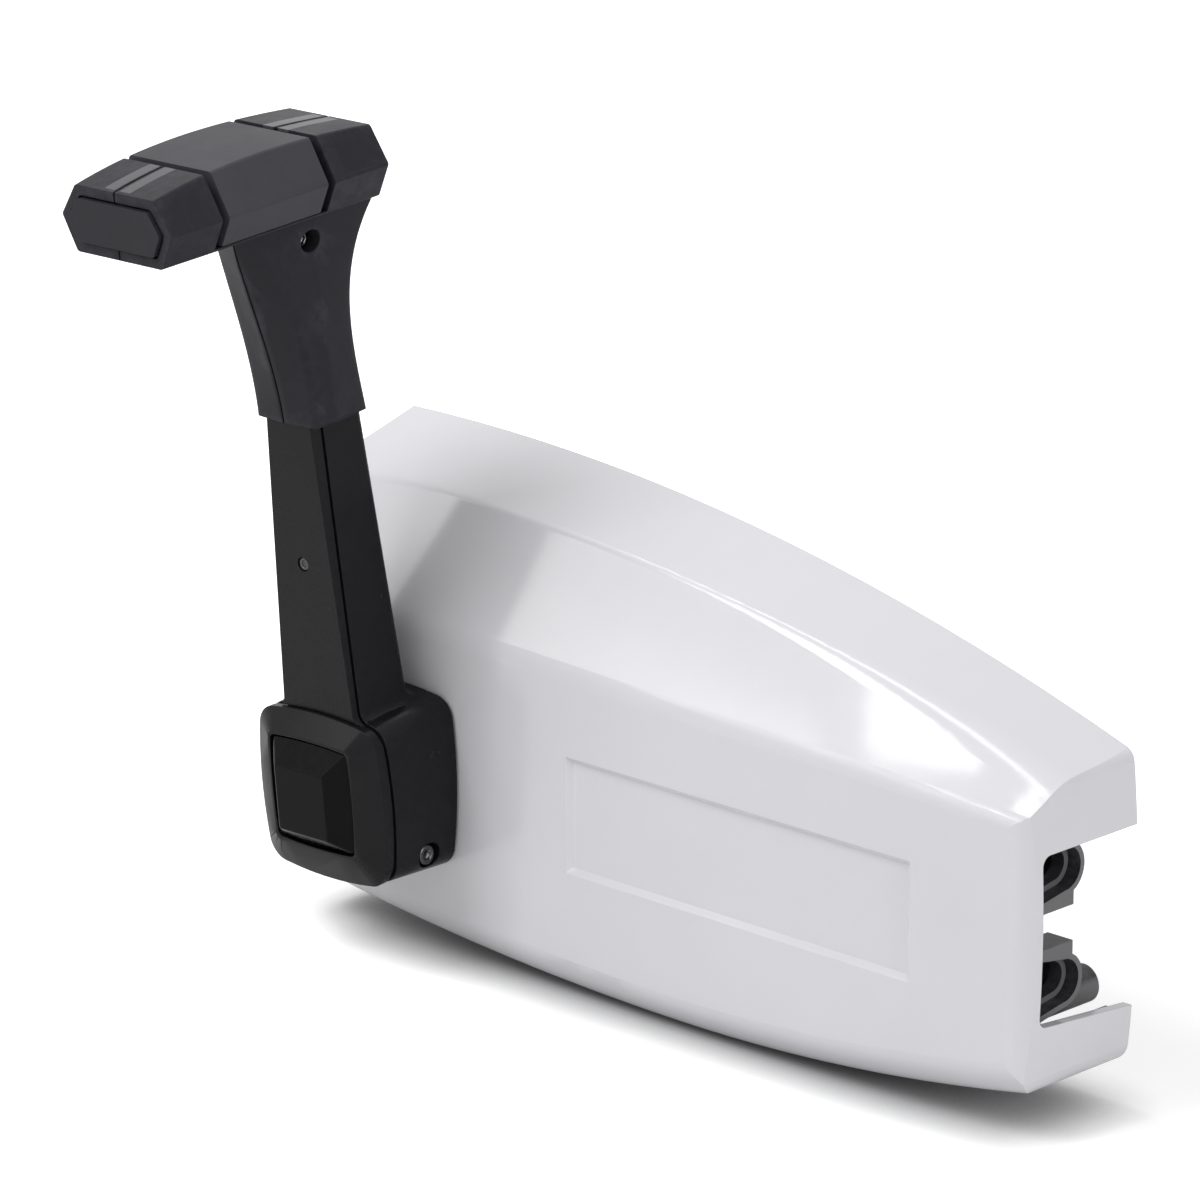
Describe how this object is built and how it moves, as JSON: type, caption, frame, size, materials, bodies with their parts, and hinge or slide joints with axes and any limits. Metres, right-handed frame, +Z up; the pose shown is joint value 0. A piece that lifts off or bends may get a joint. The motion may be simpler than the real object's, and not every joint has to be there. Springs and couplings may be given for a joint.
{
  "type": "boat throttle control lever",
  "caption": "Side-mount boat throttle and shift lever with T grip, button in the hub, moulded housing with gears and seats for two cables",
  "frame": {"origin": "the point where the lever shaft's axis meets the hull-side plane", "axes": "X along the housing to the cable end, -Y faces the helmsman, +Z up"},
  "size_m": [0.313, 0.1669, 0.2807],
  "materials": {
    "cover_white": "gloss",
    "lever_black": "satin",
    "grip_black": "satin",
    "button_black": "gloss",
    "pad_black": "soft satin",
    "inlay_black": "satin",
    "casting_black": "black coated casting",
    "guide_grey": "satin",
    "gear_steel": "machined",
    "bright_steel": "zinc plated",
    "bronze": "sintered",
    "spring_steel": "drawn wire",
    "switch_black": "moulded"
  },
  "bodies": {
    "housing": {"housing_cover": "cover_white", "chassis": "casting_black", "shaft_bushings": "bronze", "shift_pivot_pin": "bright_steel", "pivot_clip": "spring_steel", "cable_clamps": "guide_grey", "clamp_pins": "bright_steel", "cover_screws": "bright_steel", "neutral_switch": "switch_black", "switch_screws": "bright_steel", "detent_plunger": "bright_steel", "detent_spring": "spring_steel"},
    "lever": {"main_shaft": "bright_steel", "drive_gear": "gear_steel", "throttle_arm": "gear_steel", "throttle_cable_pin": "bright_steel", "shaft_nut": "bright_steel", "friction_washer": "spring_steel", "hub_body": "lever_black", "lever_plate": "lever_black", "stem_cover": "lever_black", "hub_bezel": "lever_black", "hub_screw": "bright_steel", "stem_screw": "bright_steel", "handle_left": "grip_black", "handle_right": "grip_black", "handle_screw": "bright_steel", "grip_saddle": "pad_black", "grip_inlays": "inlay_black", "trim_switch": "switch_black", "rocker_pin": "bright_steel", "button_spring": "spring_steel"},
    "button": {"throttle_button": "button_black"},
    "rocker": {"trim_rocker": "button_black"},
    "sector": {"shift_sector": "gear_steel", "shift_cable_pin": "bright_steel"}
  },
  "joints": [
    {"name": "lever_swing", "type": "hinge", "parent": "housing", "child": "lever", "pos_m": [0, 0, 0], "axis": [0, 1, 0], "range_deg": [-80, 85]},
    {"name": "button_press", "type": "slide", "parent": "lever", "child": "button", "axis": [-0.0014, 0.9968, 0.0802], "range_m": [0, 0.003], "stiffness_N_per_m": 1500, "springref_m": -0.002, "deforming": ["button_spring"]},
    {"name": "rocker_tilt", "type": "hinge", "parent": "lever", "child": "rocker", "pos_m": [-0.00355, -0.1616, 0.20328], "axis": [-0.0174, -0.0802, 0.9966], "range_deg": [-4, 4], "stiffness_Nm_per_rad": 1},
    {"name": "sector_turn", "type": "hinge", "parent": "housing", "child": "sector", "pos_m": [0.06, 0, 0], "axis": [0, 1, 0], "range_deg": [-42.5, 40]}
  ],
  "couplings": [
    {"joint": "sector_turn", "follows": "lever_swing", "ratio": -0.5}
  ]
}
